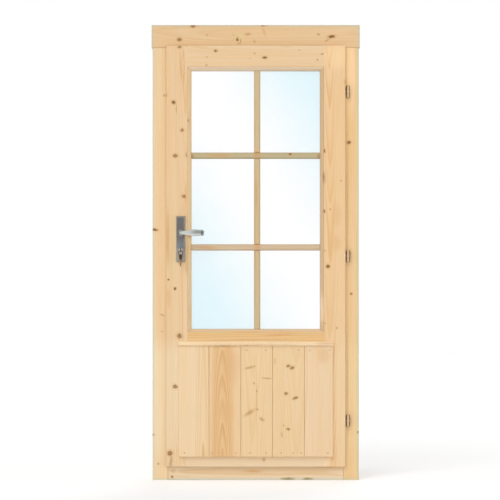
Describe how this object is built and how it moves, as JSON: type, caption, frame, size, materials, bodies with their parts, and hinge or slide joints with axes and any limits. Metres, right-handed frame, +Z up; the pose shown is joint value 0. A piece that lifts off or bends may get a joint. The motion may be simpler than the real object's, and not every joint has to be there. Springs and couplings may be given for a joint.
{
  "type": "half-glazed single door with frame",
  "caption": "Softwood door hung in its frame, glazed above behind crossed bars and boarded below, with lever handles, a lock and barrel hinges.",
  "frame": {"origin": "middle of the sill's underside", "axes": "+Z up, -Y outdoors towards the boarded face, +X to the right seen from outdoors, which is the hinge side"},
  "size_m": [0.86, 0.1655, 1.88],
  "materials": {
    "pine": "bare planed softwood",
    "clear_glass": "clear",
    "hinge_steel": "zinc plated",
    "cylinder_metal": "nickel plated",
    "satin_plate": "satin",
    "polished_lever": "polished"
  },
  "bodies": {
    "frame": {"jamb_left": "pine", "jamb_right": "pine", "frame_head": "pine", "sill": "pine", "stop_sill": "pine", "stop_head": "pine", "stop_left": "pine", "stop_right": "pine", "low_hinge_frame_half": "hinge_steel", "middle_hinge_frame_half": "hinge_steel", "high_hinge_frame_half": "hinge_steel", "strike_plate": "hinge_steel"},
    "leaf": {"lock_stile": "pine", "hinge_stile": "pine", "top_rail": "pine", "mid_rail": "pine", "bottom_rail": "pine", "glass_pane": "clear_glass", "bead_left": "pine", "bead_right": "pine", "bead_top": "pine", "bead_bottom": "pine", "upright_bar_outside": "pine", "high_bar_outside": "pine", "low_bar_outside": "pine", "upright_bar_inside": "pine", "high_bar_inside": "pine", "low_bar_inside": "pine", "board_1": "pine", "board_2": "pine", "board_3": "pine", "board_4": "pine", "board_5": "pine", "cap_strip": "pine", "inner_panel": "pine", "low_hinge_leaf_half": "hinge_steel", "middle_hinge_leaf_half": "hinge_steel", "high_hinge_leaf_half": "hinge_steel", "mortise_lock": "hinge_steel", "latch_bolt": "hinge_steel", "dead_bolt": "hinge_steel", "lock_cylinder": "cylinder_metal", "key": "cylinder_metal", "key_ring": "hinge_steel", "spare_key": "cylinder_metal", "backplate_outside": "satin_plate", "backplate_inside": "satin_plate"},
    "handle": {"lever_outside": "polished_lever", "lever_inside": "polished_lever", "spindle": "hinge_steel"}
  },
  "joints": [
    {"name": "leaf_hinge", "type": "hinge", "parent": "frame", "child": "leaf", "pos_m": [0.381, -0.046, 0.925], "axis": [0, 0, 1], "range_deg": [0, 150]},
    {"name": "handle_turn", "type": "hinge", "parent": "leaf", "child": "handle", "pos_m": [-0.3088, -0.032, 1.021], "axis": [0, 1, 0], "range_deg": [0, 40], "stiffness_Nm_per_rad": 1, "springref_deg": -28.65}
  ]
}
